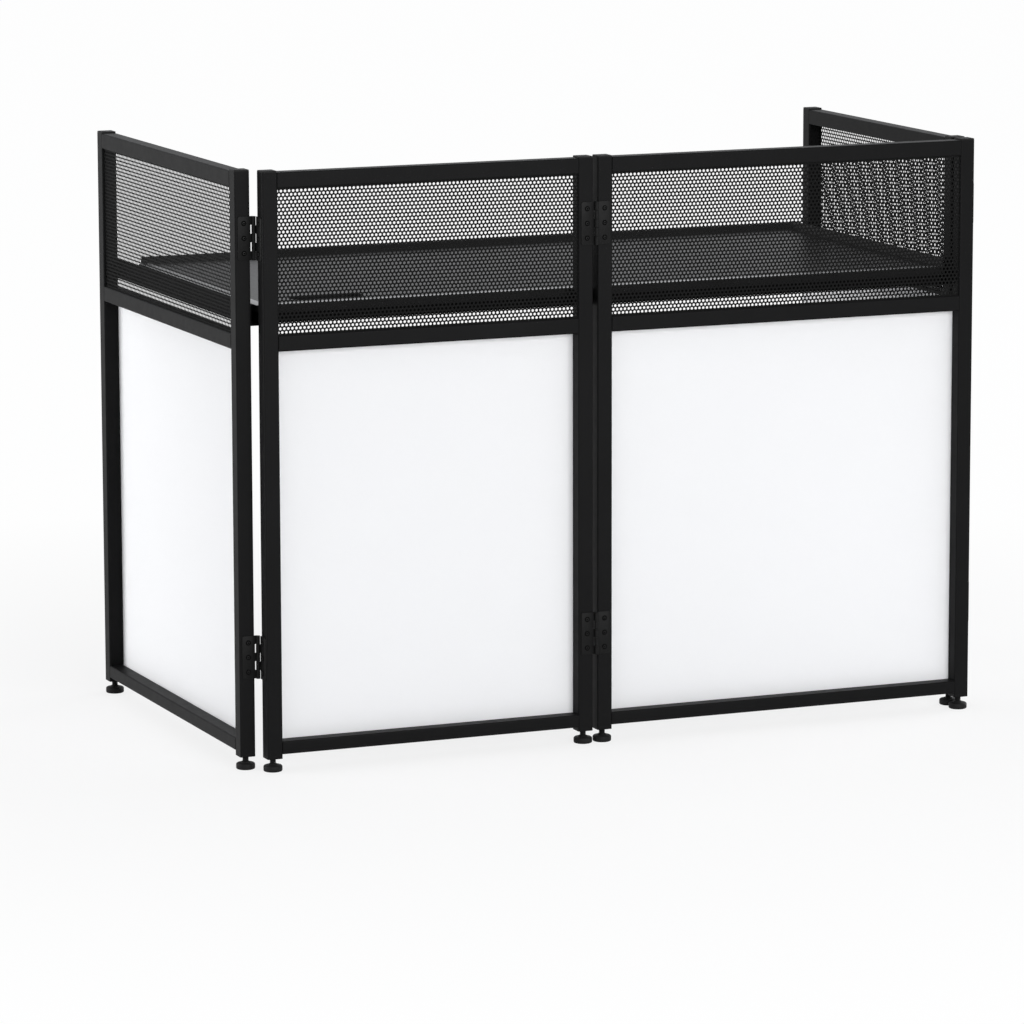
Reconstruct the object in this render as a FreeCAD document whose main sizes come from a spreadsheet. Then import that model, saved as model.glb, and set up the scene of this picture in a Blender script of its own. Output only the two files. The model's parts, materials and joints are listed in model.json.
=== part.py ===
"""A folding DJ booth: four hinged frames of square tube round a lift-out table.

The booth stands on z = 0 with its front towards -Y. Each frame has two posts, three rails, a
perforated sheet in its upper bay and a white scrim behind its lower bay. Lengths are in millimetres.
"""
import FreeCAD, Part
import Sketcher
import math
import os

from FreeCAD import Placement, Rotation, Vector

SIZES = [
    ("tube", 30.0, "square tube of posts and rails, outside"),
    ("wall", 1.5, "wall of the tube"),
    ("tube_corner", 3.0, "outer corner radius of the tube"),
    ("left_length", 800.0, "length of the left side frame"),
    ("front_left_length", 665.0, "length of the left front frame"),
    ("front_right_length", 800.0, "length of the right front frame"),
    ("right_length", 665.0, "length of the right side frame"),
    ("frame_gap", 10.0, "gap between neighbouring frames, bridged by the hinges"),
    ("frame_top", 1130.0, "top of the upper rails above the floor"),
    ("post_bottom", 25.0, "lower end of the posts above the floor"),
    ("middle_drop", 304.0, "top of the middle rails below the top of the upper rails"),
    ("low_rail_height", 25.0, "height of the bottom rails"),
    ("low_rail_raise", 8.0, "bottom rails above the lower end of the posts"),
    ("sheet_thickness", 1.5, "perforated sheet"),
    ("sheet_recess", 4.0, "perforated sheet behind the outer face of its frame"),
    ("hole_pitch", 64.0, "spacing of the holes along a row"),
    ("hole_flats", 40.0, "size of a hole across its flats"),
    ("hole_margin", 6.0, "least plain border of the sheet"),
    ("scrim_thickness", 1.0, "scrim cloth"),
    ("scrim_inset", 6.0, "scrim short of the outer edges of its frame"),
    ("scrim_overlap", 22.0, "scrim over the middle and bottom rails"),
    ("cap_height", 3.0, "visible plate of a post cap"),
    ("cap_inset", 0.9, "plate of a cap inside the outline of the tube, within its corner radius"),
    ("plug_depth", 14.0, "part of a cap inside the tube"),
    ("insert_depth", 22.0, "threaded insert in the lower end of a post"),
    ("foot_radius", 18.0, "disc of a levelling foot"),
    ("foot_height", 13.0, "disc of a levelling foot"),
    ("stem_radius", 6.0, "threaded stem of a levelling foot"),
    ("stem_clearance", 0.05, "stem in its insert, all round"),
    ("stem_reach", 20.0, "stem inside the insert"),
    ("hinge_height", 82.0, "height of a hinge"),
    ("hinge_drop", 83.0, "top of the upper hinges below the top of the upper rails"),
    ("hinge_rise", 150.0, "lower end of the lower hinges above the lower end of the posts"),
    ("hinge_offset", 5.0, "hinge axis off the face that a leaf is fixed to"),
    ("leaf_width", 30.0, "hinge axis to the outer edge of a leaf"),
    ("leaf_thickness", 2.0, "hinge leaf"),
    ("barrel_radius", 4.0, "hinge knuckles"),
    ("pin_radius", 2.5, "hinge pin"),
    ("pin_clearance", 0.05, "pin in the knuckles that turn on it, all round"),
    ("knuckle_gap", 0.4, "axial gap between knuckles"),
    ("seat_rise", 18.0, "underside of the table above the middle rails"),
    ("table_depth", 690.0, "table board, front to rear"),
    ("table_front_gap", 10.0, "front edge of the board behind the front frames"),
    ("table_side_gap", 14.0, "ends of the board off the side frames"),
    ("board_thickness", 12.0, "table board"),
    ("board_corner", 8.0, "corner radius of the table board"),
    ("bearer_height", 22.0, "bars under the board"),
    ("bearer_width", 20.0, "bars under the board"),
    ("bearer_setback", 6.0, "bars set back from the edge of the board"),
    ("rear_lip_rise", 13.0, "rear lip above the upper face of the board"),
    ("right_lip_rise", 18.0, "right lip above the upper face of the board"),
    ("lip_thickness", 3.0, "lips at the rear and right edges"),
    ("cutout_length", 150.0, "cable opening in the board"),
    ("cutout_width", 50.0, "cable opening in the board"),
    ("cutout_from_left", 165.0, "centre of the cable opening from the left end of the board"),
    ("cutout_from_front", 80.0, "centre of the cable opening from the front edge of the board"),
    ("ledge_plate", 3.0, "strips of a ledge"),
    ("ledge_reach", 36.0, "shelf of a ledge, from its side frame inwards"),
    ("ledge_rise", 2.0, "upper edge of a ledge above the upper face of the board"),
    ("ledge_inset", 6.0, "ends of a ledge short of the ends of its frame"),
    ("seat_gap", 0.2, "bars of the table above the ledges"),
]
KNUCKLES = 5
# Few-sided rounds keep the facets of the many small pieces down.
FOOT_SIDES = 24
STEM_SIDES = 16
KNUCKLE_SIDES = 16
PIN_SIDES = 12

doc = FreeCAD.newDocument("dj_booth")
sheet = doc.addObject("Spreadsheet::Sheet", "Sizes")
sheet.Label = "sizes"
for row, (alias, value, meaning) in enumerate(SIZES, 1):
    sheet.set(f"A{row}", meaning)
    sheet.set(f"B{row}", str(value))
    sheet.setAlias(f"B{row}", alias)
doc.recompute()

nodes = []


def size(alias):
    return float(sheet.get(alias))


def cell(alias):
    return f"<<sizes>>.{alias}"


def keep(obj):
    """Adds an object to the sub-parts that are written out."""
    nodes.append(obj)
    return obj


def shift(x, y, z):
    return Placement(Vector(x, y, z), Rotation())


def origin_plane(body, role):
    return next(f for f in body.Origin.OriginFeatures if f.Role == role)


def bind(sketch, constraint, name, expression):
    index = sketch.addConstraint(constraint)
    sketch.renameConstraint(index, name)
    sketch.setExpression(f"Constraints.{name}", expression)


def add_rectangle(sketch, name, width, height, inset=None):
    """A rectangle from the sketch's origin, or inset from it both ways, with bound sizes."""
    corners = [Vector(1, 1, 0), Vector(9, 1, 0), Vector(9, 9, 0), Vector(1, 9, 0)]
    edges = [Part.LineSegment(corners[i], corners[(i + 1) % 4]) for i in range(4)]
    first = sketch.addGeometry(edges, False)[0]
    for i in range(4):
        sketch.addConstraint(Sketcher.Constraint("Coincident", first + i, 2, first + (i + 1) % 4, 1))
        level = "Horizontal" if i % 2 == 0 else "Vertical"
        sketch.addConstraint(Sketcher.Constraint(level, first + i))
    if inset is None:
        sketch.addConstraint(Sketcher.Constraint("Coincident", first, 1, -1, 1))
    else:
        bind(sketch, Sketcher.Constraint("DistanceX", -1, 1, first, 1, 1.0), f"{name}_inset_x", inset)
        bind(sketch, Sketcher.Constraint("DistanceY", -1, 1, first, 1, 1.0), f"{name}_inset_y", inset)
    bind(sketch, Sketcher.Constraint("DistanceX", first, 1, first, 2, 8.0), f"{name}_width", width)
    bind(sketch, Sketcher.Constraint("DistanceY", first + 1, 1, first + 1, 2, 8.0), f"{name}_height", height)


def new_sketch(body, role, name):
    sketch = body.newObject("Sketcher::SketchObject", f"{body.Name}_{name}")
    sketch.AttachmentSupport = [(origin_plane(body, role), "")]
    sketch.MapMode = "FlatFace"
    return sketch


def pad(body, sketch, name, length, reverse=False):
    feature = body.newObject("PartDesign::Pad", f"{body.Name}_{name}")
    feature.Profile = sketch
    feature.Reversed = reverse
    feature.setExpression("Length", length)
    return feature


def round_edges(body, base, radius, wanted):
    """Fillets the edges of a feature that pass the test."""
    doc.recompute()
    names = [f"Edge{i}" for i, edge in enumerate(base.Shape.Edges, 1) if wanted(edge)]
    fillet = body.newObject("PartDesign::Fillet", f"{body.Name}_corners")
    fillet.Base = (base, names)
    fillet.setExpression("Radius", radius)
    return fillet


def runs_along(edge, axis):
    ends = [v.Point for v in edge.Vertexes]
    return len(ends) == 2 and abs((ends[1] - ends[0]).normalize().dot(axis)) > 0.999


def box(name, length, width, height, place=None):
    solid = doc.addObject("Part::Box", name)
    solid.setExpression("Length", length)
    solid.setExpression("Width", width)
    solid.setExpression("Height", height)
    solid.Placement = place or Placement()
    return solid


def prism(name, sides, radius, height, place=None):
    """An upright prism with its corners at the given radius."""
    solid = doc.addObject("Part::Prism", name)
    solid.Polygon = sides
    solid.setExpression("Circumradius", radius)
    solid.setExpression("Height", height)
    solid.Placement = place or Placement()
    return solid


def fuse(name, parts):
    joined = doc.addObject("Part::MultiFuse", name)
    joined.Shapes = parts
    joined.Refine = True
    return joined


def cut(name, base, tool):
    result = doc.addObject("Part::Cut", name)
    result.Base = base
    result.Tool = tool
    return result


def copies(label, template, places):
    """One sub-part that holds copies of a template piece at the given places."""
    doc.recompute()
    links = []
    for number, place in enumerate(places, 1):
        link = doc.addObject("Part::Feature", f"{label}_{number}")
        link.Shape = template.Shape.copy()
        link.Placement = place.multiply(template.Placement)
        links.append(link)
    if len(links) == 1:
        links[0].Label = label
        return keep(links[0])
    group = doc.addObject("Part::Compound", label)
    group.Links = links
    return keep(group)


def square_tube(label, length, height, place):
    """A tube along +X with its outer face on Y = 0 and its underside on Z = 0."""
    body = doc.addObject("PartDesign::Body", label)
    section = new_sketch(body, "YZ_Plane", "section")
    add_rectangle(section, "outside", cell("tube"), height)
    bore_width = f"{cell('tube')} - 2 * {cell('wall')}"
    add_rectangle(section, "bore", bore_width, f"{height} - 2 * {cell('wall')}", cell("wall"))
    run = pad(body, section, "run", length)

    def outer_corner(edge):
        middle = edge.CenterOfMass
        far = max(abs(middle.y - size("tube") / 2), 0)
        return runs_along(edge, Vector(1, 0, 0)) and far > size("tube") / 2 - size("wall") / 2
    round_edges(body, run, cell("tube_corner"), outer_corner)
    body.Placement = place
    return keep(body)


def post_place(at):
    """Stands a tube upright, with its foot end on the post bottom and its near edge at the given place."""
    upright = Rotation(Vector(0, 1, 0), -90)
    return Placement(Vector(at + size("tube"), 0, size("post_bottom")), upright)


def perforated_sheet(label, length, place):
    """A sheet between the tubes of an upper bay, with staggered rows of six-sided holes."""
    tube = size("tube")
    width = length - 2 * tube
    height = size("middle_drop") - tube
    pitch = size("hole_pitch")
    row_pitch = pitch * math.sqrt(3) / 2
    reach = size("hole_flats") / math.sqrt(3)
    spare = 2 * size("hole_margin")
    per_row = int((width - spare - size("hole_flats") - pitch / 2) // pitch) + 1
    rows = int((height - spare - 2 * reach) // row_pitch) + 1
    first_x = (width - (per_row - 0.5) * pitch) / 2
    first_z = (height - (rows - 1) * row_pitch) / 2
    outline = [Vector(0, 0, 0), Vector(width, 0, 0), Vector(width, 0, height), Vector(0, 0, height)]
    wires = [Part.makePolygon(outline + outline[:1])]
    for row in range(rows):
        for column in range(per_row):
            centre = Vector(first_x + (column + 0.5 * (row % 2)) * pitch, 0, first_z + row * row_pitch)
            turns = [math.radians(60 * k + 30) for k in range(6)]
            hole = [centre + Vector(reach * math.cos(a), 0, reach * math.sin(a)) for a in turns]
            wires.append(Part.makePolygon(hole + hole[:1]))
    plate = doc.addObject("Part::Feature", label)
    face = Part.makeFace(wires, "Part::FaceMakerBullseye")
    plate.Shape = face.extrude(Vector(0, size("sheet_thickness"), 0))
    sheet_low = size("frame_top") - size("middle_drop")
    plate.Placement = place.multiply(shift(tube, size("sheet_recess"), sheet_low))
    return keep(plate)


def scrim(label, length, place):
    """Cloth on the inner face of a frame, from the middle rail to the bottom rail."""
    low = size("post_bottom") + size("low_rail_raise") + size("low_rail_height") - size("scrim_overlap")
    at = shift(size("scrim_inset"), size("tube"), low)
    bay_top = f"{cell('frame_top')} - {cell('middle_drop')} - {cell('tube')}"
    bay_low = f"{cell('post_bottom')} + {cell('low_rail_raise')} + {cell('low_rail_height')}"
    cloth = box(label, f"{length} - 2 * {cell('scrim_inset')}", cell("scrim_thickness"),
                f"{bay_top} - ({bay_low}) + 2 * {cell('scrim_overlap')}", place.multiply(at))
    return keep(cloth)


def make_cap():
    """A cap over the top of a post: a plate just inside the tube's outline, and a plug in its bore."""
    inset = size("cap_inset")
    plate_width = f"{cell('tube')} - 2 * {cell('cap_inset')}"
    plate = box("cap_plate", plate_width, plate_width, cell("cap_height"), shift(inset, inset, 0))
    wall = size("wall")
    plug_width = f"{cell('tube')} - 2 * {cell('wall')}"
    plug = box("cap_plug", plug_width, plug_width, cell("plug_depth"), shift(wall, wall, -size("plug_depth")))
    return fuse("cap", [plate, plug])


def make_insert():
    """The threaded insert in the lower end of a post, with the bore for a foot's stem."""
    width = f"{cell('tube')} - 2 * {cell('wall')}"
    block = box("insert_block", width, width, cell("insert_depth"), shift(size("wall"), size("wall"), 0))
    middle = size("tube") / 2
    bore = prism("insert_bore", STEM_SIDES, f"{cell('stem_radius')} + {cell('stem_clearance')}",
                 cell("insert_depth"), shift(middle, middle, 0))
    return cut("insert", block, bore)


def make_foot():
    """A levelling foot: a faceted disc on a threaded stem, centred under a post."""
    middle = size("tube") / 2
    disc = prism("foot_disc", FOOT_SIDES, cell("foot_radius"), cell("foot_height"), shift(middle, middle, 0))
    stem = prism("foot_stem", STEM_SIDES, cell("stem_radius"),
                 f"{cell('post_bottom')} + {cell('stem_reach')} - {cell('foot_height')}",
                 shift(middle, middle, size("foot_height")))
    return fuse("foot", [disc, stem])


def knuckle_span(number):
    """Lower end and height of a knuckle, counted from the lower end of its hinge."""
    share = size("hinge_height") / KNUCKLES
    low = number * share + (size("knuckle_gap") / 2 if number else 0)
    high = (number + 1) * share - (size("knuckle_gap") / 2 if number < KNUCKLES - 1 else 0)
    return low, high - low


def make_leaf(name, knuckles, with_pin):
    """A hinge leaf along +X from its axis, fixed on the face at Y = hinge_offset."""
    near = size("hinge_offset") - size("leaf_thickness")
    clear = size("barrel_radius") + 2 * size("knuckle_gap")
    plate = box(f"{name}_plate", f"{cell('leaf_width')} - {clear}", cell("leaf_thickness"),
                cell("hinge_height"), shift(clear, near, 0))
    parts = [plate]
    for number in knuckles:
        low, height = knuckle_span(number)
        parts.append(box(f"{name}_tab_{number}", f"{clear}", cell("leaf_thickness"), f"{height}",
                         shift(0, near, low)))
        parts.append(prism(f"{name}_knuckle_{number}", KNUCKLE_SIDES, cell("barrel_radius"), f"{height}",
                           shift(0, 0, low)))
    if with_pin:
        parts.append(prism(f"{name}_pin", PIN_SIDES, cell("pin_radius"), cell("hinge_height")))
        return fuse(name, parts)
    # The flats of the bore stand off the corners of the pin, so the pin turns freely in it.
    bore_radius = f"({cell('pin_radius')} + {cell('pin_clearance')}) / cos(180 deg / {PIN_SIDES})"
    bore = prism(f"{name}_bore", PIN_SIDES, bore_radius, cell("hinge_height"))
    return cut(name, fuse(f"{name}_blank", parts), bore)


def ledge(label, length, place):
    """An upright strip on the inner faces of a side frame's posts, and the shelf on it that carries the table."""
    plate = cell("ledge_plate")
    run = f"{length} - 2 * {cell('ledge_inset')}"
    table_height = f"{cell('bearer_height')} + {cell('board_thickness')}"
    rise = f"{plate} + {cell('seat_gap')} + {table_height} + {cell('ledge_rise')}"
    start = size("ledge_inset")
    inner = size("tube")
    low = table_low() - size("seat_gap") - size("ledge_plate")
    upright = box(f"{label}_upright", run, plate, rise, place.multiply(shift(start, inner, low)))
    shelf = box(f"{label}_shelf", run, f"{cell('ledge_reach')} - {plate}", plate,
                place.multiply(shift(start, inner + size("ledge_plate"), low)))
    group = doc.addObject("Part::Compound", label)
    group.Links = [upright, shelf]
    return keep(group)


def table_low():
    """Underside of the table, which follows the middle rails."""
    return size("frame_top") - size("middle_drop") + size("seat_rise")


def frame(label, length, ends, place, cap, insert, foot):
    """One hinged frame along +X of its place, with its outer face on Y = 0."""
    tube = size("tube")
    reach = size(length)
    inside = f"{cell(length)} - 2 * {cell('tube')}"
    starts = [0, reach - tube]
    for end, at in zip(ends, starts):
        height = f"{cell('frame_top')} - {cell('post_bottom')}"
        square_tube(f"{label}_post_{end}", height, cell("tube"), place.multiply(post_place(at)))
    levels = {
        "top": (size("frame_top") - tube, cell("tube")),
        "middle": (size("frame_top") - size("middle_drop") - tube, cell("tube")),
        "bottom": (size("post_bottom") + size("low_rail_raise"), cell("low_rail_height")),
    }
    for level, (low, height) in levels.items():
        square_tube(f"{label}_rail_{level}", inside, height, place.multiply(shift(tube, 0, low)))
    perforated_sheet(f"{label}_sheet", reach, place)
    scrim(f"{label}_scrim", cell(length), place)
    copies(f"{label}_caps", cap, [place.multiply(shift(at, 0, size("frame_top"))) for at in starts])
    copies(f"{label}_inserts", insert, [place.multiply(shift(at, 0, size("post_bottom"))) for at in starts])
    for end, at in zip(ends, starts):
        copies(f"{label}_foot_{end}", foot, [place.multiply(shift(at, 0, 0))])


def hinge_leaves(label, leaf, axis, turn):
    """The upper and lower leaf of one side of a hinge line, turned into place about their own middle."""
    half = size("hinge_height") / 2
    uppers = size("frame_top") - size("hinge_drop") - half
    lowers = size("post_bottom") + size("hinge_rise") + half
    middles = [Placement(Vector(axis[0], axis[1], z), turn) for z in (uppers, lowers)]
    return copies(label, leaf, [middle.multiply(shift(0, 0, -half)) for middle in middles])


def table(left, right, front):
    """The lift-out table: a board with a cable opening, bars under it, and lips at two edges."""
    rear = front + size("table_depth")
    under = table_low() + size("bearer_height")
    length = right - left
    body = doc.addObject("PartDesign::Body", "table_board")
    outline = new_sketch(body, "XY_Plane", "outline")
    add_rectangle(outline, "board", f"{length}", cell("table_depth"))
    slab = pad(body, outline, "slab", cell("board_thickness"))
    round_edges(body, slab, cell("board_corner"), lambda edge: runs_along(edge, Vector(0, 0, 1)))
    doc.recompute()
    opening = new_sketch(body, "XY_Plane", "opening")
    add_slot(opening)
    pocket = body.newObject("PartDesign::Pocket", "table_board_opening_cut")
    pocket.Profile = opening
    pocket.Type = "ThroughAll"
    pocket.Reversed = True
    doc.recompute()
    lost = slab.Shape.Volume - pocket.Shape.Volume
    assert lost > size("cutout_width") ** 2 * size("board_thickness") * 0.7, "cable opening"
    body.Placement = shift(left, front, under)
    keep(body)
    back = size("bearer_setback")
    bar = size("bearer_width")
    low = table_low()
    inner_depth = f"{cell('table_depth')} - 2 * ({cell('bearer_setback')} + {cell('bearer_width')})"
    full = f"{length} - 2 * {cell('bearer_setback')}"
    bars = {
        "front": (left + back, front + back, full, cell("bearer_width")),
        "rear": (left + back, rear - back - bar, full, cell("bearer_width")),
        "left": (left + back, front + back + bar, cell("bearer_width"), inner_depth),
        "middle": ((left + right - bar) / 2, front + back + bar, cell("bearer_width"), inner_depth),
        "right": (right - back - bar, front + back + bar, cell("bearer_width"), inner_depth),
    }
    for name, (x, y, along, across) in bars.items():
        keep(box(f"table_bearer_{name}", along, across, cell("bearer_height"), shift(x, y, low)))
    corner = size("board_corner")
    keep(box("table_lip_rear", f"{length} - 2 * {cell('board_corner')}", cell("lip_thickness"),
             f"{cell('board_thickness')} + {cell('rear_lip_rise')}", shift(left + corner, rear, under)))
    keep(box("table_lip_right", cell("lip_thickness"), f"{cell('table_depth')} - 2 * {cell('board_corner')}",
             f"{cell('board_thickness')} + {cell('right_lip_rise')}", shift(right, front + corner, under)))


def add_slot(sketch):
    """A long hole with round ends, placed from the front left corner of the board."""
    half = size("cutout_width") / 2
    reach = (size("cutout_length") - size("cutout_width")) / 2
    middle = Vector(size("cutout_from_left"), size("cutout_from_front"), 0)
    ends = [middle + Vector(reach, 0, 0), middle - Vector(reach, 0, 0)]
    up = Vector(0, half, 0)
    arcs = []
    for end, start in zip(ends, (-math.pi / 2, math.pi / 2)):
        circle = Part.Circle(end, Vector(0, 0, 1), half)
        arcs.append(sketch.addGeometry(Part.ArcOfCircle(circle, start, start + math.pi), False))
    top = sketch.addGeometry(Part.LineSegment(ends[0] + up, ends[1] + up), False)
    low = sketch.addGeometry(Part.LineSegment(ends[1] - up, ends[0] - up), False)
    for a, b in ((arcs[0], top), (top, arcs[1]), (arcs[1], low), (low, arcs[0])):
        sketch.addConstraint(Sketcher.Constraint("Tangent", a, 2, b, 1))
    sketch.addConstraint(Sketcher.Constraint("Horizontal", top))
    bind(sketch, Sketcher.Constraint("Radius", arcs[0], half), "end_radius", f"{cell('cutout_width')} / 2")
    bind(sketch, Sketcher.Constraint("DistanceX", arcs[1], 3, arcs[0], 3, 2 * reach), "centres",
         f"{cell('cutout_length')} - {cell('cutout_width')}")
    bind(sketch, Sketcher.Constraint("DistanceX", -1, 1, arcs[1], 3, middle.x - reach), "from_left",
         f"{cell('cutout_from_left')} - ({cell('cutout_length')} - {cell('cutout_width')}) / 2")
    bind(sketch, Sketcher.Constraint("DistanceY", -1, 1, arcs[1], 3, middle.y), "from_front",
         cell("cutout_from_front"))


def build():
    tube = size("tube")
    gap = size("frame_gap")
    offset = size("hinge_offset")
    barrel = size("barrel_radius")
    span = size("front_left_length") + gap + size("front_right_length")
    side_start = tube + gap
    # The origin is on the floor under the middle of the whole booth, feet and hinges included.
    beyond_foot = size("foot_radius") - tube / 2
    x_low = -gap - tube - beyond_foot
    x_high = max(span + offset + barrel, span + beyond_foot)
    y_low = -max(offset + barrel, beyond_foot)
    y_high = side_start + max(size("left_length"), size("right_length")) + beyond_foot
    x0 = -(x_low + x_high) / 2
    y0 = -(y_low + y_high) / 2
    places = {
        "left": Placement(Vector(x0 - gap - tube, y0 + side_start + size("left_length"), 0),
                          Rotation(Vector(0, 0, 1), -90)),
        "front_left": shift(x0, y0, 0),
        "front_right": shift(x0 + size("front_left_length") + gap, y0, 0),
        "right": Placement(Vector(x0 + span, y0 + side_start, 0), Rotation(Vector(0, 0, 1), 90)),
    }
    ends = {
        "left": ("rear", "front"),
        "front_left": ("outer", "centre"),
        "front_right": ("centre", "outer"),
        "right": ("front", "rear"),
    }
    cap = make_cap()
    insert = make_insert()
    foot = make_foot()
    for label, place in places.items():
        frame(label, f"{label}_length", ends[label], place, cap, insert, foot)
    outer_leaf = make_leaf("leaf_outer", range(0, KNUCKLES, 2), with_pin=True)
    inner_leaf = make_leaf("leaf_inner", range(1, KNUCKLES, 2), with_pin=False)
    about_z = Vector(0, 0, 1)
    flipped = Rotation(Vector(0, 1, 0), 180)
    corner_axis = (x0 - gap / 2, y0 + tube + gap / 2)
    centre_axis = (x0 + size("front_left_length") + gap / 2, y0 - offset)
    right_axis = (x0 + span + offset, y0 + tube + gap / 2)
    hinge_leaves("left_hinge_outer_leaves", outer_leaf, corner_axis, flipped)
    hinge_leaves("left_hinge_inner_leaves", inner_leaf, corner_axis, Rotation(about_z, -90))
    hinge_leaves("centre_hinge_outer_leaves", outer_leaf, centre_axis, flipped)
    hinge_leaves("centre_hinge_inner_leaves", inner_leaf, centre_axis, Rotation())
    hinge_leaves("right_hinge_outer_leaves", outer_leaf, right_axis, Rotation(Vector(1, -1, 0), 180))
    hinge_leaves("right_hinge_inner_leaves", inner_leaf, right_axis, Rotation(about_z, 90))
    side = size("table_side_gap")
    left_edge = x0 - gap + side
    right_edge = x0 + span - tube - side
    front_edge = y0 + tube + size("table_front_gap")
    table(left_edge, right_edge, front_edge)
    for label in ("left", "right"):
        ledge(f"{label}_ledge", cell(f"{label}_length"), places[label])


def write_out():
    """Checks every object and writes each sub-part to its own file."""
    doc.recompute()
    for obj in doc.Objects:
        if "Invalid" in obj.State or "Error" in obj.State:
            raise RuntimeError(f"{obj.Label} failed: {obj.State}")
    os.makedirs("parts", exist_ok=True)
    for obj in nodes:
        if obj.Shape.isNull() or not obj.Shape.isValid():
            raise RuntimeError(f"{obj.Label} has no valid shape")
    for obj in nodes:
        obj.Shape.exportStep(f"parts/{obj.Label}.step")
    print(len(nodes), "sub-parts")


build()
write_out()
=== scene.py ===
"""The folding DJ booth in a white studio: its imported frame, dressed with finishes and fine detail.

Lengths are in metres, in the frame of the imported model: +X along the front, +Y to the open rear, +Z up.
"""
import json
import math

import bmesh
import bpy
import numpy as np
from mathutils import Matrix, Vector


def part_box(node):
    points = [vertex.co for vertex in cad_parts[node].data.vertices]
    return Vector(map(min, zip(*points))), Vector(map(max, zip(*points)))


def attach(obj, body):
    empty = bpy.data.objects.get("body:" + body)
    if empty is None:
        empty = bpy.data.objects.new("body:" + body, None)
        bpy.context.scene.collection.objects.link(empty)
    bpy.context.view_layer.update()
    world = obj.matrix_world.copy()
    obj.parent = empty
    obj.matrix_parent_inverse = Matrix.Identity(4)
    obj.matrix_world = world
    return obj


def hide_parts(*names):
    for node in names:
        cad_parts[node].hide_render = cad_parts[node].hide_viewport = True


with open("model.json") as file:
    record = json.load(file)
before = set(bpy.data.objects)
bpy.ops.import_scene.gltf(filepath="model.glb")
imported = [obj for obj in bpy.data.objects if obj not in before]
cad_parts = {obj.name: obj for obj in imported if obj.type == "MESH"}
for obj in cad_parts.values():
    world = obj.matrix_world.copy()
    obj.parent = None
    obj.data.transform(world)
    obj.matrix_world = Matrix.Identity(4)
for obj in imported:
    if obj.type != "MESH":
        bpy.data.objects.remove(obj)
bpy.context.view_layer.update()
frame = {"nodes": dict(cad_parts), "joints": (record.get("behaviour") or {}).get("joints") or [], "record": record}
nodes = frame["nodes"]

MM = 0.001
UP = Vector((0, 0, 1))

# The frames, each with the names of its two post ends.
FRAMES = {
    "left": ("rear", "front"),
    "front_left": ("outer", "centre"),
    "front_right": ("centre", "outer"),
    "right": ("front", "rear"),
}

# Camera, found from the corners of the frames in the photograph.
CAMERA_AT = (-4.09042, -9.64402, 2.19355)
CAMERA_YAW = 0.39686
CAMERA_PITCH = 0.17129
CAMERA_ROLL = -0.00244
CAMERA_LENS = 188.207
CAMERA_SENSOR = 36.0
CAMERA_REACH = 200.0

# Lamps: name, place and power. All are the same size and aim at the middle of the booth.
LAMPS = (
    ("front_lamp", (0.4, -8.0, 2.4), 405.0),
    ("left_lamp", (-7.6, 3.2, 1.8), 385.0),
    ("right_lamp", (8.0, 2.0, 2.6), 380.0),
)
LAMP_WIDTH, LAMP_HEIGHT = 5.0, 3.0
LAMP_AIM = (0.0, 0.0, 0.5)

# World: its strength as light on the booth, and where it is seen as the background.
SKY_LIGHT, SKY_SEEN = 0.42, 0.97

# Floor: the share of plain white that is seen beside the booth, where its shadow falls, and far away. The smaller
# share beside the booth shows more of the grey lit floor, which paints a soft shade round the booth besides its
# real shadow.
FLOOR_REACH = 60.0
PAINTED_SHADE_NEAR, PAINTED_SHADE_FAR = 0.9, 2.4
GLOW_NEAR, GLOW_FAR = 0.8, 0.98

# Perforated sheets. The edge is the solid strip along the border of a sheet.
HOLE_PITCH = 8 * MM
HOLE_RADIUS = 2.6 * MM
HOLE_SIDES = 10
SHEET_THICKNESS = 0.2 * MM
SHEET_EDGE = 1.0 * MM
WELD_DECIMALS = 7
LEAST_AREA = 1e-12

# Scrims: the mesh, the stand-off from the outer side, and the waves, in radians per metre along and up,
# with their depth and the width over which they die out at the edges.
CLOTH_COLUMNS, CLOTH_ROWS = 48, 56
CLOTH_THICKNESS = 0.3 * MM
CLOTH_OFFSET = 0.2 * MM
WAVES = ((9.0, 2.1), (3.1, 5.3))
WAVE_DEPTH = 0.25 * MM
WAVE_FADE = 80 * MM
HEM_WIDTH = 18 * MM
HEM_OFFSET = 0.35 * MM
HEM_THICKNESS = 0.5 * MM

# Post caps.
CAP_INSET = 0.25 * MM
CAP_CORNER = 2.8 * MM
CAP_RIM = 1.0 * MM

# Levelling feet. The outline of the disc is in mm. Its rim, from the floor up, and its shoulder, from the
# upper face down, are (past the edge of the disc, height). The collar on top is (radius, height).
FOOT_DISC = 13 * MM
FOOT_RIM = ((-2.5, 0), (-0.8, 0.7), (0, 2.2))
FOOT_SHOULDER = ((0, -4), (-0.6, -2.4), (-2.2, -1.2))
FOOT_COLLAR = ((9, -0.2), (8.4, 1.2), (7.6, 1.6))
FOOT_SIDES = 48
THREAD_OUTER, THREAD_INNER = 5.9 * MM, 5.2 * MM
THREAD_PITCH = 1.75 * MM
THREAD_CREST = (0.4, 0.55)
THREAD_START = 1.4 * MM
THREAD_SIDES = 24

# Hinges: the same sizes as the solids that they stand for, with rounded corners.
HINGE_OFFSET = 5 * MM
HINGE_HEIGHT = 82 * MM
LEAF_WIDTH = 30 * MM
LEAF_THICKNESS = 2 * MM
LEAF_CORNER = 4 * MM
LEAF_EASE = 0.4 * MM
LEAF_FACE = HINGE_OFFSET - LEAF_THICKNESS
BARREL_RADIUS = 4 * MM
BARREL_EDGE = 0.3 * MM
BARREL_SIDES = 28
BARREL_CLEARANCE = 0.8 * MM
KNUCKLES = 5
KNUCKLE_GAP = 0.4 * MM
KNUCKLE_LAP = 0.2 * MM
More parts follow.
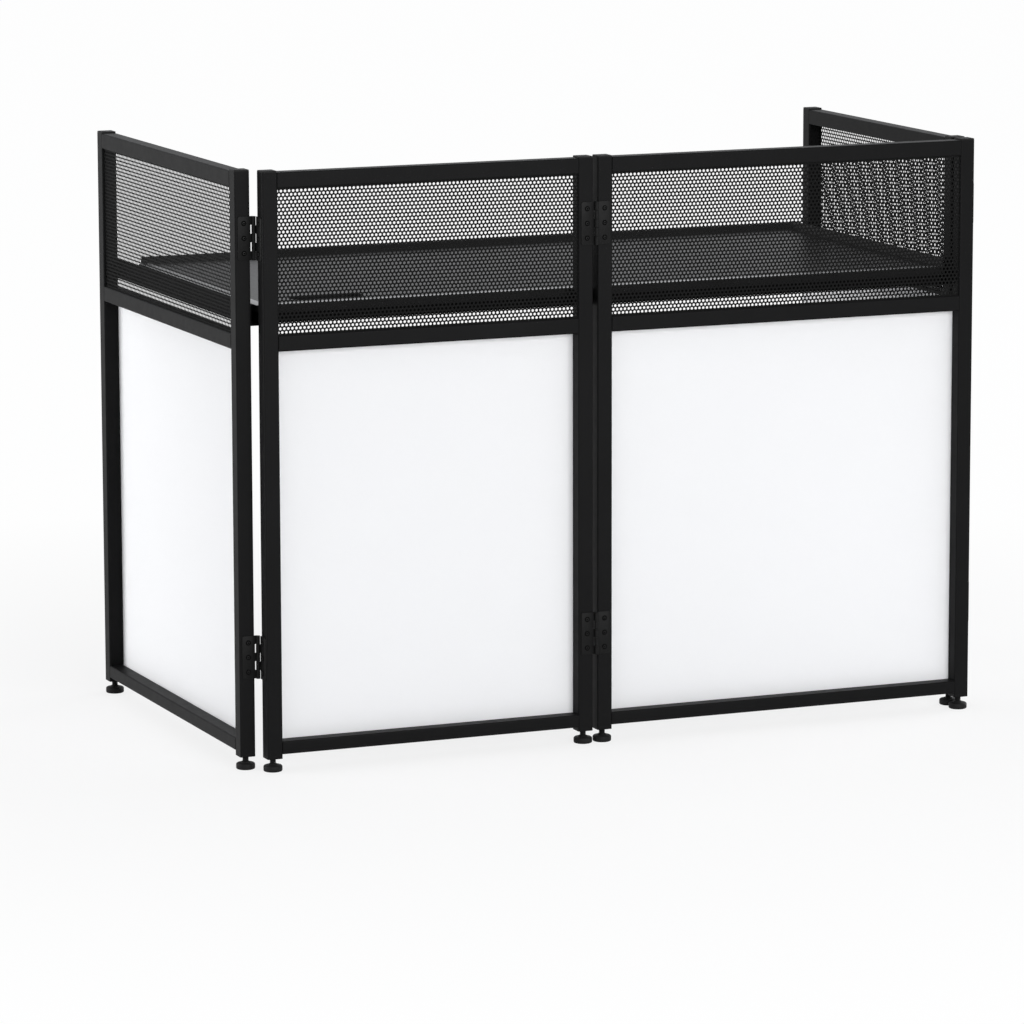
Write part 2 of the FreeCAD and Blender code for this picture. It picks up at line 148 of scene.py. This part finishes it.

# Screws of a leaf: their places along it, and as (radius, height) in mm the outlines of the near-black disc under
# each head, which is painted shade for its countersink and its socket, and of the head.
SCREW_SHARES = (0.16, 0.5, 0.84)
SCREW_FROM_AXIS = 18 * MM
SCREW_SIDES = 32
SCREW_SHADE_OUTLINE = ((0, 0), (5.0, 0), (4.8, 0.25), (0, 0.25))
SCREW_OUTLINE = ((1.7, 0.25), (1.7, 1.4), (2.6, 1.3), (3.0, 0.9), (3.0, 0.25), (1.7, 0.25))
SCREW_WELD = 0.001 * MM

# Table.
BOARD_CORNER = 8 * MM
EDGING_WIDTH = 22 * MM
EDGING_THICKNESS = 0.8 * MM
EDGING_EASE = 0.3 * MM
LIP_BENDS = 10

# Edges that turn by more than this many degrees stay sharp.
SHARP, SHARP_CAPS = 35, 40


def new_material(name):
    material = bpy.data.materials.new(name)
    material.use_nodes = True
    shader = material.node_tree.nodes["Principled BSDF"]
    return material, material.node_tree, shader


def add_node(tree, kind, inputs=None, **settings):
    node = tree.nodes.new(kind)
    for key, value in settings.items():
        setattr(node, key, value)
    for key, value in (inputs or {}).items():
        node.inputs[key].default_value = value
    return node


def noise(tree, scale, detail=2.0):
    place = add_node(tree, "ShaderNodeTexCoord")
    grain = add_node(tree, "ShaderNodeTexNoise", {"Scale": scale, "Detail": detail})
    tree.links.new(place.outputs["Object"], grain.inputs["Vector"])
    return grain.outputs["Fac"]


def ramp(tree, source, low, high):
    """Spreads a 0 to 1 value over a range of numbers."""
    spread = add_node(tree, "ShaderNodeMapRange", {"To Min": low, "To Max": high})
    tree.links.new(source, spread.inputs["Value"])
    return spread.outputs["Result"]


def blend_colours(tree, source, dark, light):
    mix = add_node(tree, "ShaderNodeMix", data_type="RGBA")
    mix.inputs["A"].default_value = (*dark, 1)
    mix.inputs["B"].default_value = (*light, 1)
    tree.links.new(source, mix.inputs["Factor"])
    return mix.outputs["Result"]


def add_bump(tree, shader, height, strength, distance):
    bump = add_node(tree, "ShaderNodeBump", {"Strength": strength, "Distance": distance})
    tree.links.new(height, bump.inputs["Height"])
    tree.links.new(bump.outputs["Normal"], shader.inputs["Normal"])


def grey(level, blue=0.0):
    return level, level, level + blue


def coated_metal(name, dark, light, rough, shine, grain=700.0):
    """A coat with fine orange peel and slight differences in colour and gloss."""
    material, tree, shader = new_material(name)
    shader.inputs["Specular IOR Level"].default_value = shine
    tone = noise(tree, scale=9.0, detail=4.0)
    tree.links.new(blend_colours(tree, tone, dark, light), shader.inputs["Base Color"])
    gloss = noise(tree, scale=60.0, detail=3.0)
    tree.links.new(ramp(tree, gloss, *rough), shader.inputs["Roughness"])
    add_bump(tree, shader, noise(tree, grain), strength=0.25, distance=0.1 * MM)
    return material


def moulded_plastic(name, dark, light, rough):
    """Plastic with a fine moulded grain."""
    material, tree, shader = new_material(name)
    shader.inputs["Specular IOR Level"].default_value = 0.08
    tree.links.new(blend_colours(tree, noise(tree, scale=40.0), dark, light), shader.inputs["Base Color"])
    tree.links.new(ramp(tree, noise(tree, scale=150.0), *rough), shader.inputs["Roughness"])
    add_bump(tree, shader, noise(tree, scale=2500.0), strength=0.3, distance=0.08 * MM)
    return material


def woven_cloth(name, colour, shade):
    """Stretched cloth with a fine plain weave, which lets some light through."""
    material, tree, shader = new_material(name)
    shader.inputs["Specular IOR Level"].default_value = 0.2
    shader.inputs["Sheen Weight"].default_value = 0.15
    shader.inputs["Roughness"].default_value = 0.9
    shader.inputs["Subsurface Weight"].default_value = 0.45
    shader.inputs["Subsurface Radius"].default_value = (1.0, 1.0, 1.0)
    shader.inputs["Subsurface Scale"].default_value = 2 * MM
    place = add_node(tree, "ShaderNodeTexCoord")
    weave = add_node(tree, "ShaderNodeMath", operation="MULTIPLY")
    for number, direction in enumerate(("DIAGONAL", "Z")):
        wave = add_node(tree, "ShaderNodeTexWave", {"Scale": 330.0, "Distortion": 0.6, "Detail": 1.0},
                        wave_type="BANDS", bands_direction=direction)
        tree.links.new(place.outputs["Object"], wave.inputs["Vector"])
        tree.links.new(wave.outputs["Fac"], weave.inputs[number])
    tree.links.new(blend_colours(tree, weave.outputs["Value"], shade, colour), shader.inputs["Base Color"])
    add_bump(tree, shader, weave.outputs["Value"], strength=0.2, distance=0.1 * MM)
    return material


def laminate(name, dark, light, rough):
    """Laminate with a shallow pressed grain."""
    material, tree, shader = new_material(name)
    shader.inputs["Specular IOR Level"].default_value = 0.19
    tone = noise(tree, scale=14.0, detail=5.0)
    tree.links.new(blend_colours(tree, tone, dark, light), shader.inputs["Base Color"])
    gloss = noise(tree, scale=90.0, detail=4.0)
    tree.links.new(ramp(tree, gloss, *rough), shader.inputs["Roughness"])
    add_bump(tree, shader, noise(tree, scale=420.0, detail=3.0), strength=0.2, distance=0.1 * MM)
    return material


def brushed_trim(name, dark, light, rough):
    """Anodised edging with a fine brushed grain."""
    material, tree, shader = new_material(name)
    shader.inputs["Metallic"].default_value = 0.8
    place = add_node(tree, "ShaderNodeTexCoord")
    stretch = add_node(tree, "ShaderNodeMapping", {"Scale": (40.0, 40.0, 900.0)})
    tree.links.new(place.outputs["Object"], stretch.inputs["Vector"])
    streaks = add_node(tree, "ShaderNodeTexNoise", {"Scale": 4.0, "Detail": 3.0})
    tree.links.new(stretch.outputs["Vector"], streaks.inputs["Vector"])
    streak = streaks.outputs["Fac"]
    tree.links.new(blend_colours(tree, streak, dark, light), shader.inputs["Base Color"])
    tree.links.new(ramp(tree, streak, *rough), shader.inputs["Roughness"])
    return material


# Each finish: its darkest and lightest colour, its range of roughness, and for a coat its shine and grain.
COAT = coated_metal("powder_coat", grey(0.005, 0.0002), grey(0.008, 0.0002), (0.4, 0.52), 0.05)
SHEET_COAT = coated_metal("sheet_coat", grey(0.007), grey(0.01), (0.5, 0.6), 0.02)
HINGE_COAT = coated_metal("hinge_coat", grey(0.0065), grey(0.009), (0.42, 0.54), 0.08, 1200.0)
# Painted shade: a darker copy of the frame coat for the bearers and ledges that carry the table, standing for the
# shade under the board.
UNDER_TABLE_SHADE_COAT = coated_metal("bar_coat", grey(0.002), grey(0.0035), (0.5, 0.62), 0.04)
LIP_COAT = coated_metal("lip_coat", grey(0.03), grey(0.04), (0.5, 0.6), 0.1)
SCREW = coated_metal("black_screw", grey(0.009), grey(0.013), (0.35, 0.45), 0.12, 1500.0)
# Painted shade: near-black discs under the screw heads stand for the shade in their countersinks and sockets.
PAINTED_SCREW_SHADE = coated_metal("black_washer", grey(0.0006), grey(0.0012), (0.6, 0.7), 0.02, 1500.0)
PLASTIC = moulded_plastic("black_plastic", grey(0.01), grey(0.015), (0.5, 0.62))
CLOTH = woven_cloth("white_scrim", (0.93, 0.935, 0.95), (0.88, 0.885, 0.9))
BOARD = laminate("black_laminate", grey(0.005), grey(0.008), (0.36, 0.48))
TRIM = brushed_trim("edge_trim", grey(0.28, 0.003), grey(0.38, 0.004), (0.3, 0.45))

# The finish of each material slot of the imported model.
FINISHES = {
    "frame": COAT,
    "sheet": SHEET_COAT,
    "scrim": CLOTH,
    "cap": PLASTIC,
    "insert": PLASTIC,
    "foot": PLASTIC,
    "hinge": HINGE_COAT,
    # The ledges and bearers under the table take the darker coat of painted shade.
    "ledge": UNDER_TABLE_SHADE_COAT,
    "board": BOARD,
    "bearer": UNDER_TABLE_SHADE_COAT,
    "lip": LIP_COAT,
}


def add_piece(name, mesh, material, body):
    """A new object that moves with a body."""
    mesh.materials.append(material)
    obj = bpy.data.objects.new(name, mesh)
    bpy.context.scene.collection.objects.link(obj)
    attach(obj, body)
    return obj


def bm_piece(name, bm, material, body, sharp=None):
    """A piece from a finished mesh, smooth up to the angle given, or flat."""
    mesh = bpy.data.meshes.new(name)
    bmesh.ops.recalc_face_normals(bm, faces=bm.faces)
    bm.to_mesh(mesh)
    bm.free()
    if sharp:
        mesh.shade_smooth()
        mesh.set_sharp_from_angle(angle=math.radians(sharp))
    return add_piece(name, mesh, material, body)


def corners(node):
    """The lowest and the highest corner of a node."""
    low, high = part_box(node)
    return Vector(low), Vector(high)


def box_part(low, high):
    """A plain box between two corners."""
    low, high = Vector(low), Vector(high)
    part = bmesh.new()
    bmesh.ops.create_cube(part, size=1.0)
    size = high - low
    for v in part.verts:
        v.co = Vector([low[i] + (v.co[i] + 0.5) * size[i] for i in range(3)])
    return part


def lowest(edge, axis):
    return min(getattr(v.co, axis) for v in edge.verts)


def highest(edge, axis):
    return max(getattr(v.co, axis) for v in edge.verts)


def round_off(part, edges, radius, segments):
    bmesh.ops.bevel(part, geom=edges, offset=radius, segments=segments, profile=0.5, affect="EDGES")


def join(bm, part, matrix=None):
    """Adds a finished part to a mesh, moved by a matrix."""
    if matrix is not None:
        bmesh.ops.transform(part, matrix=matrix, verts=part.verts)
    scrap = bpy.data.meshes.new("scrap")
    part.to_mesh(scrap)
    part.free()
    bm.from_mesh(scrap)
    bpy.data.meshes.remove(scrap)


def lathe(profile, sides):
    """A solid of revolution about Z from (radius, height) points."""
    part = bmesh.new()
    turns = [2 * math.pi * k / sides for k in range(sides)]
    rings = []
    for radius, z in profile:
        if radius == 0:
            rings.append([part.verts.new((0, 0, z))])
            continue
        rings.append([part.verts.new((radius * math.cos(a), radius * math.sin(a), z)) for a in turns])
    for low, high in zip(rings, rings[1:]):
        for k in range(sides):
            a, b = low[k % len(low)], low[(k + 1) % len(low)]
            c, d = high[(k + 1) % len(high)], high[k % len(high)]
            spots = list(dict.fromkeys((a, b, c, d)))
            if len(spots) > 2:
                part.faces.new(spots)
    return part


def in_metres(outline):
    return [(radius * MM, height * MM) for radius, height in outline]


def sheet_axes(node):
    """Corner, run, thickness direction and sizes of an upright plate node."""
    low, high = corners(node)
    size = high - low
    if size.x > size.y:
        return low, Vector((1, 0, 0)), Vector((0, 1, 0)), size.x, size.y, size.z
    return low, Vector((0, 1, 0)), Vector((1, 0, 0)), size.y, size.x, size.z


def join_loops(part, loops):
    """Faces between neighbouring loops of four corners."""
    for near, far in zip(loops, loops[1:]):
        for k in range(4):
            after = (k + 1) % 4
            part.faces.new((near[k], near[after], far[after], far[k]))


def border(corner, run, depth, width, height, wide):
    """An upright rectangular frame of flat strips, mitred at its corners."""
    part = bmesh.new()
    loops = []
    for inset, back in ((0, 0), (wide, 0), (wide, 1), (0, 1)):
        right, top = width - inset, height - inset
        spots = ((inset, inset), (right, inset), (right, top), (inset, top))
        loops.append([part.verts.new(corner + run * u + depth * back + UP * z) for u, z in spots])
    join_loops(part, loops + loops[:1])
    return part


def holed_cell():
    """One hexagon of a sheet with a hole in it: its corners, then the hole's, and the triangles between."""
    def ring(count, radius):
        turns = math.pi / 6 + np.arange(count) * 2 * math.pi / count
        return radius * np.stack([np.cos(turns), np.sin(turns)], axis=1)

    triangles = []
    corner, side = 0, 0
    while corner < 6 or side < HOLE_SIDES:
        here, inside = corner % 6, 6 + side % HOLE_SIDES
        if corner < 6 and (corner + 1) * HOLE_SIDES <= (side + 1) * 6:
            corner += 1
            triangles.append((here, corner % 6, inside))
        else:
            side += 1
            triangles.append((here, 6 + side % HOLE_SIDES, inside))
    points = np.concatenate([ring(6, HOLE_PITCH / math.sqrt(3)), ring(HOLE_SIDES, HOLE_RADIUS)])
    return points, np.array(triangles)


def hole_centres(width, height):
    """Staggered rows of holes that reach past all edges of a sheet, centred on it."""
    row_pitch = HOLE_PITCH * math.sqrt(3) / 2
    rows = math.ceil(height / row_pitch) + 1
    columns = math.ceil(width / HOLE_PITCH) + 1
    first_u = (width - (columns - 0.5) * HOLE_PITCH) / 2
    first_z = (height - (rows - 1) * row_pitch) / 2
    row, column = np.meshgrid(np.arange(rows), np.arange(columns), indexing="ij")
    u = first_u + (column + 0.5 * (row % 2)) * HOLE_PITCH
    z = first_z + row * row_pitch
    return np.stack([u.ravel(), z.ravel()], axis=1)


def flat_perforation(width, height):
    """Points and triangles of a flat perforated sheet. Cells that reach past its edges are cut off there."""
    centres = hole_centres(width, height)
    cell, triangles = holed_cell()
    points = np.clip((centres[:, None, :] + cell).reshape(-1, 2), 0, (width, height))
    points, shared = np.unique(np.round(points, WELD_DECIMALS), axis=0, return_inverse=True)
    starts = np.arange(len(centres)) * len(cell)
    triangles = shared.reshape(-1)[starts[:, None, None] + triangles].reshape(-1, 3)
    a, b, c = (points[triangles[:, k]] for k in range(3))
    area = (b - a)[:, 0] * (c - a)[:, 1] - (b - a)[:, 1] * (c - a)[:, 0]
    used, triangles = np.unique(triangles[area > LEAST_AREA], return_inverse=True)
    return points[used], triangles.reshape(-1, 3)


def rim_edges(triangles):
    """The edges that only one triangle has."""
    edges = np.concatenate([triangles[:, [0, 1]], triangles[:, [1, 2]], triangles[:, [2, 0]]])
    edges, uses = np.unique(np.sort(edges, axis=1), axis=0, return_counts=True)
    return edges[uses == 1]


def perforated_sheet(label):
    """A thin sheet with staggered rows of round holes, and the strip along its border."""
    corner, run, depth, width, thick, height = sheet_axes(f"{label}_sheet")
    flat, triangles = flat_perforation(width, height)
    start = np.array(corner) + np.array(depth) * (thick - SHEET_THICKNESS) / 2
    front = start + flat[:, :1] * np.array(run) + flat[:, 1:] * np.array(UP)
    back = front + np.array(depth) * SHEET_THICKNESS
    far = len(flat)
    rim = rim_edges(triangles)
    walls = np.concatenate([rim, rim[:, ::-1] + far], axis=1)
    faces = triangles.tolist() + (triangles[:, ::-1] + far).tolist() + walls.tolist()
    scrap = bpy.data.meshes.new("scrap")
    scrap.from_pydata(np.concatenate([front, back]), [], faces)
    bm = bmesh.new()
    bm.from_mesh(scrap)
    bpy.data.meshes.remove(scrap)
    made = bm_piece(f"{label}_perforated", bm, SHEET_COAT, label)
    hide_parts(f"{label}_sheet")
    edge = border(corner, run, depth * thick, width, height, SHEET_EDGE)
    bm_piece(f"{label}_sheet_edge", edge, SHEET_COAT, label)


def cloth_offset(u, z, width, height):
    """How far the cloth stands in at a point: slight waves that die out at its edges."""
    edge = min(u, width - u, z, height - z)
    sway = sum(math.sin(along * u + upward * z) for along, upward in WAVES) / len(WAVES)
    return CLOTH_OFFSET + WAVE_DEPTH * (1 + sway) * min(1.0, edge / WAVE_FADE)


def cloth_mesh(name, outer, run, inward, width, height):
    """A grid of points over the outer side of a bay."""
    verts, faces = [], []
    for j in range(CLOTH_ROWS + 1):
        for i in range(CLOTH_COLUMNS + 1):
            u, z = width * i / CLOTH_COLUMNS, height * j / CLOTH_ROWS
            verts.append(outer + run * u + inward * cloth_offset(u, z, width, height) + UP * z)
    for j in range(CLOTH_ROWS):
        for i in range(CLOTH_COLUMNS):
            a = j * (CLOTH_COLUMNS + 1) + i
            above = a + CLOTH_COLUMNS + 1
            faces.append((a, a + 1, above + 1, above))
    mesh = bpy.data.meshes.new(name)
    mesh.from_pydata(verts, [], faces)
    mesh.shade_smooth()
    return mesh


def scrim(label):
    """A stretched cloth with a flat hem, slightly wavy between its fixings."""
    corner, run, depth, width, thick, height = sheet_axes(f"{label}_scrim")
    inward, outer = depth, corner
    if label == "right":
        inward, outer = -depth, corner + depth * thick
    mesh = cloth_mesh(f"{label}_cloth", outer, run, inward, width, height)
    cloth = add_piece(f"{label}_cloth", mesh, CLOTH, label)
    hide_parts(f"{label}_scrim")
    thicken = cloth.modifiers.new("thickness", "SOLIDIFY")
    thicken.thickness = CLOTH_THICKNESS
    thicken.offset = 0
    strip = border(outer + inward * HEM_OFFSET, run, inward * HEM_THICKNESS, width, height, HEM_WIDTH)
    hem_piece = bm_piece(f"{label}_hem", strip, CLOTH, label)


def caps(label):
    """Moulded caps on the posts, with rounded corners and softened edges."""
    bm = bmesh.new()
    cap_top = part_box(f"{label}_caps")[1][2]
    inset = Vector((CAP_INSET, CAP_INSET, 0))
    for end in FRAMES[label]:
        low, high = corners(f"{label}_post_{end}")
        part = box_part(Vector((low.x, low.y, high.z)) + inset, Vector((high.x, high.y, cap_top)) - inset)
        middle = (high.z + cap_top) / 2
        upright = [e for e in part.edges if lowest(e, "z") < middle < highest(e, "z")]
        round_off(part, upright, CAP_CORNER, segments=5)
        rim = [e for e in part.edges if lowest(e, "z") > middle]
        round_off(part, rim, CAP_RIM, segments=3)
        join(bm, part)
    made = bm_piece(f"{label}_post_caps", bm, PLASTIC, label, SHARP_CAPS)
    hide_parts(f"{label}_caps")


def foot_outline(radius):
    """The disc of a foot with its collar, as (radius, height) points."""
    rim = [(radius + past * MM, z * MM) for past, z in FOOT_RIM]
    shoulder = [(radius + past * MM, FOOT_DISC + z * MM) for past, z in FOOT_SHOULDER]
    collar = [(reach * MM, FOOT_DISC + z * MM) for reach, z in FOOT_COLLAR]
    return [(0, 0)] + rim + shoulder + collar + [(0, collar[-1][1])]


def thread_outline(top):
    """A stem with one ridge per turn of its thread, up to a height that it stays under."""
    z = FOOT_DISC + THREAD_START
    outline = [(0, z), (THREAD_INNER, z)]
    while z + THREAD_PITCH < top:
        outline += [(THREAD_OUTER, z + THREAD_PITCH * share) for share in THREAD_CREST]
        z += THREAD_PITCH
        outline.append((THREAD_INNER, z))
    return outline + [(0, z)]


def foot(label, end):
    """A levelling foot: a moulded disc with a bevelled rim on a threaded stem."""
    node = f"{label}_foot_{end}"
    low, high = corners(node)
    bm = lathe(foot_outline((high.x - low.x) / 2), FOOT_SIDES)
    join(bm, lathe(thread_outline(high.z - low.z), THREAD_SIDES))
    middle = (low + high) / 2
    bmesh.ops.translate(bm, vec=Vector((middle.x, middle.y, low.z)), verts=bm.verts)
    made = bm_piece(f"{node}_turned", bm, PLASTIC, node, SHARP)
    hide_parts(node)


def leaf_plate(start):
    """The plate of a hinge leaf, with rounded outer corners and a softened face."""
    plate = box_part((start, LEAF_FACE, 0), (LEAF_WIDTH, HINGE_OFFSET, HINGE_HEIGHT))
    middle = LEAF_FACE + LEAF_THICKNESS / 2
    outer = [e for e in plate.edges if lowest(e, "x") > (start + LEAF_WIDTH) / 2]
    through = [e for e in outer if lowest(e, "y") < middle < highest(e, "y")]
    round_off(plate, through, LEAF_CORNER, segments=5)
    face = [e for e in plate.edges if highest(e, "y") < middle]
    round_off(plate, face, LEAF_EASE, segments=2)
    return plate


def leaf_part(outer):
    """A hinge leaf along +X from its axis, on the face at Y = HINGE_OFFSET, from Z = 0 up."""
    bm = bmesh.new()
    plate_start = BARREL_RADIUS + BARREL_CLEARANCE
    join(bm, leaf_plate(plate_start))
    share = HINGE_HEIGHT / KNUCKLES
    inner_radius = BARREL_RADIUS - BARREL_EDGE
    for number in range(0 if outer else 1, KNUCKLES, 2):
        z0 = number * share + (KNUCKLE_GAP / 2 if number else 0)
        z1 = (number + 1) * share - (KNUCKLE_GAP / 2 if number < KNUCKLES - 1 else 0)
        join(bm, box_part((0, LEAF_FACE, z0), (plate_start + KNUCKLE_LAP, HINGE_OFFSET, z1)))
        barrel = [(0, z0), (inner_radius, z0), (BARREL_RADIUS, z0 + BARREL_EDGE),
                  (BARREL_RADIUS, z1 - BARREL_EDGE), (inner_radius, z1), (0, z1)]
        join(bm, lathe(barrel, BARREL_SIDES))
    return bm


def fastener_part(outline):
    """A turned part of a screw, along -Y from Y = 0."""
    part = lathe(in_metres(outline), SCREW_SIDES)
    bmesh.ops.remove_doubles(part, verts=part.verts, dist=SCREW_WELD)
    bmesh.ops.rotate(part, matrix=Matrix.Rotation(math.pi / 2, 3, "X"), verts=part.verts)
    return part


def hinge(line, leaf, body, turn, axis):
    """The upper and lower leaves of one side of a hinge line, with their screws and, under each screw, a
    near-black disc of painted shade that shows round the head and in its socket.
    """
    node = f"{line}_hinge_{leaf}_leaves"
    low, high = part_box(node)
    bm, heads, screw_shades = bmesh.new(), bmesh.new(), bmesh.new()
    for z in (low[2], high[2] - HINGE_HEIGHT):
        middle = Matrix.Translation((axis[0], axis[1], z + HINGE_HEIGHT / 2)) @ turn.to_4x4()
        place = middle @ Matrix.Translation((0, 0, -HINGE_HEIGHT / 2))
        join(bm, leaf_part(leaf == "outer"), place)
        for share in SCREW_SHARES:
            at = place @ Matrix.Translation((SCREW_FROM_AXIS, LEAF_FACE, HINGE_HEIGHT * share))
            join(heads, fastener_part(SCREW_OUTLINE), at)
            # Painted shade: a near-black disc under the head, seen round it and through its socket.
            join(screw_shades, fastener_part(SCREW_SHADE_OUTLINE), at)
    made = bm_piece(f"{line}_{leaf}_leaves", bm, HINGE_COAT, body, SHARP)
    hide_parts(node)
    bm_piece(f"{line}_{leaf}_screws", heads, SCREW, body, SHARP)
    bm_piece(f"{line}_{leaf}_washers", screw_shades, PAINTED_SCREW_SHADE, body, SHARP)


def hinges():
    """All leaves, each turned from the +X direction to lie on its own post."""
    level = Matrix.Identity(3)
    flip = Matrix.Rotation(math.pi, 3, "Y")
    quarter = Matrix.Rotation(math.pi / 2, 3, "Z")
    swap = Matrix.Rotation(math.pi, 3, Vector((1, -1, 0)))
    axes = {j["name"]: j["pos_m"] for j in frame["joints"] if j["type"] == "hinge"}
    hinge("left", "outer", "left", flip, axes["left_hinge"])
    hinge("left", "inner", "front_left", quarter.inverted(), axes["left_hinge"])
    hinge("centre", "outer", "front_left", flip, axes["centre_hinge"])
    hinge("centre", "inner", "front_right", level, axes["centre_hinge"])
    hinge("right", "outer", "front_right", swap, axes["right_hinge"])
    hinge("right", "inner", "right", quarter, axes["right_hinge"])


def table_trim():
    """Flat edging on the table, along its front and left edges."""
    low, high = corners("table_board")
    top = high.z + EDGING_THICKNESS
    strips = (
        ((low.x + BOARD_CORNER, low.y, high.z), (high.x - BOARD_CORNER, low.y + EDGING_WIDTH, top)),
        ((low.x, low.y + BOARD_CORNER, high.z), (low.x + EDGING_WIDTH, high.y - BOARD_CORNER, top)),
    )
    bm = bmesh.new()
    for start, end in strips:
        strip = box_part(start, end)
        round_off(strip, strip.edges[:], EDGING_EASE, segments=2)
        join(bm, strip)
    bm_piece("table_edging", bm, TRIM, "table", SHARP)


def lip_corner():
    """A bent strip round the rear right corner of the table, from one lip to the other."""
    rear_low, rear_high = corners("table_lip_rear")
    right_low, right_high = corners("table_lip_right")
    inner = right_low.x - rear_high.x
    outer = right_high.x - rear_high.x
    part = bmesh.new()
    rings = []
    for k in range(LIP_BENDS + 1):
        turn = math.pi / 2 * k / LIP_BENDS
        top = right_high.z + (rear_high.z - right_high.z) * k / LIP_BENDS
        ring = []
        for radius, z in ((inner, rear_low.z), (outer, rear_low.z), (outer, top), (inner, top)):
            x = rear_high.x + radius * math.cos(turn)
            y = right_high.y + radius * math.sin(turn)
            ring.append(part.verts.new((x, y, z)))
        rings.append(ring)
    join_loops(part, rings)
    part.faces.new(rings[0])
    part.faces.new(rings[-1])
    bm_piece("table_lip_corner", part, LIP_COAT, "table", SHARP)


def finish_nodes():
    """Gives every CAD node its finish."""
    slots = {s["node"]: s["material_slot"] for s in frame["record"]["subparts"]}
    for name, obj in nodes.items():
        for place in obj.material_slots:
            place.material = FINISHES[slots[name]]


def seen_directly(tree):
    """1 for rays from the camera and for those that reflections and glass send on, else 0."""
    path = add_node(tree, "ShaderNodeLightPath")
    seen = path.outputs["Is Camera Ray"]
    for kind in ("Is Glossy Ray", "Is Transmission Ray"):
        either = add_node(tree, "ShaderNodeMath", operation="MAXIMUM")
        tree.links.new(seen, either.inputs[0])
        tree.links.new(path.outputs[kind], either.inputs[1])
        seen = either.outputs["Value"]
    return seen


def floor_glow(tree):
    """The share of plain white in what is seen of the floor: less beside the booth than far away, so that a soft
    painted shade lies round the booth besides its real shadow.
    """
    place = add_node(tree, "ShaderNodeTexCoord")
    away = add_node(tree, "ShaderNodeVectorMath", operation="LENGTH")
    tree.links.new(place.outputs["Object"], away.inputs[0])
    # Painted shade: less plain white within reach of the booth, so the floor darkens round it.
    fade = add_node(tree, "ShaderNodeMapRange", {"From Min": PAINTED_SHADE_NEAR, "From Max": PAINTED_SHADE_FAR,
                                                 "To Min": GLOW_NEAR, "To Max": GLOW_FAR})
    tree.links.new(away.outputs["Value"], fade.inputs["Value"])
    share = add_node(tree, "ShaderNodeMath", operation="MULTIPLY")
    tree.links.new(seen_directly(tree), share.inputs[0])
    tree.links.new(fade.outputs["Result"], share.inputs[1])
    return share.outputs["Value"]


def add_floor():
    """A white floor that reaches past the view and keeps the shadow of the booth, with a soft painted shade round
    the booth.
    """
    material, tree, shader = new_material("studio_floor")
    shader.inputs["Base Color"].default_value = (0.86, 0.86, 0.865, 1)
    shader.inputs["Roughness"].default_value = 0.9
    shader.inputs["Specular IOR Level"].default_value = 0.1
    glow = add_node(tree, "ShaderNodeEmission", {"Color": (0.998, 0.999, 1.0, 1), "Strength": 1.0})
    mix = add_node(tree, "ShaderNodeMixShader")
    tree.links.new(floor_glow(tree), mix.inputs["Fac"])
    tree.links.new(shader.outputs["BSDF"], mix.inputs[1])
    tree.links.new(glow.outputs["Emission"], mix.inputs[2])
    tree.links.new(mix.outputs["Shader"], tree.nodes["Material Output"].inputs["Surface"])
    mesh = bpy.data.meshes.new("floor")
    ways = ((-1, -1), (1, -1), (1, 1), (-1, 1))
    mesh.from_pydata([(x * FLOOR_REACH, y * FLOOR_REACH, 0) for x, y in ways], [], [(0, 1, 2, 3)])
    mesh.materials.append(material)
    floor = bpy.data.objects.new("floor", mesh)
    bpy.context.scene.collection.objects.link(floor)


def add_world():
    world = bpy.data.worlds.new("studio")
    bpy.context.scene.world = world
    world.use_nodes = True
    tree = world.node_tree
    sky = tree.nodes["Background"]
    sky.inputs["Color"].default_value = (0.97, 0.98, 1.0, 1)
    tree.links.new(ramp(tree, seen_directly(tree), SKY_LIGHT, SKY_SEEN), sky.inputs["Strength"])


def add_lamps():
    for name, place, watts in LAMPS:
        data = bpy.data.lights.new(name, "AREA")
        data.shape = "RECTANGLE"
        data.size, data.size_y = LAMP_WIDTH, LAMP_HEIGHT
        data.energy = watts
        lamp = bpy.data.objects.new(name, data)
        lamp.location = place
        lamp.rotation_euler = (Vector(LAMP_AIM) - lamp.location).to_track_quat("-Z", "Y").to_euler()
        bpy.context.scene.collection.objects.link(lamp)


def add_camera():
    data = bpy.data.cameras.new("photo_camera")
    data.sensor_width = CAMERA_SENSOR
    data.lens = CAMERA_LENS
    data.clip_end = CAMERA_REACH
    camera = bpy.data.objects.new("photo_camera", data)
    aim = Matrix.Rotation(-CAMERA_YAW, 4, "Z") @ Matrix.Rotation(math.pi / 2 - CAMERA_PITCH, 4, "X")
    camera.matrix_world = Matrix.Translation(CAMERA_AT) @ aim @ Matrix.Rotation(CAMERA_ROLL, 4, "Z")
    bpy.context.scene.collection.objects.link(camera)
    bpy.context.scene.camera = camera


finish_nodes()
for label in FRAMES:
    perforated_sheet(label)
    scrim(label)
    caps(label)
    for end in FRAMES[label]:
        foot(label, end)
hinges()
table_trim()
lip_corner()
add_floor()
add_world()
add_lamps()
add_camera()
bpy.context.scene.view_settings.view_transform = "Standard"
bpy.context.view_layer.update()
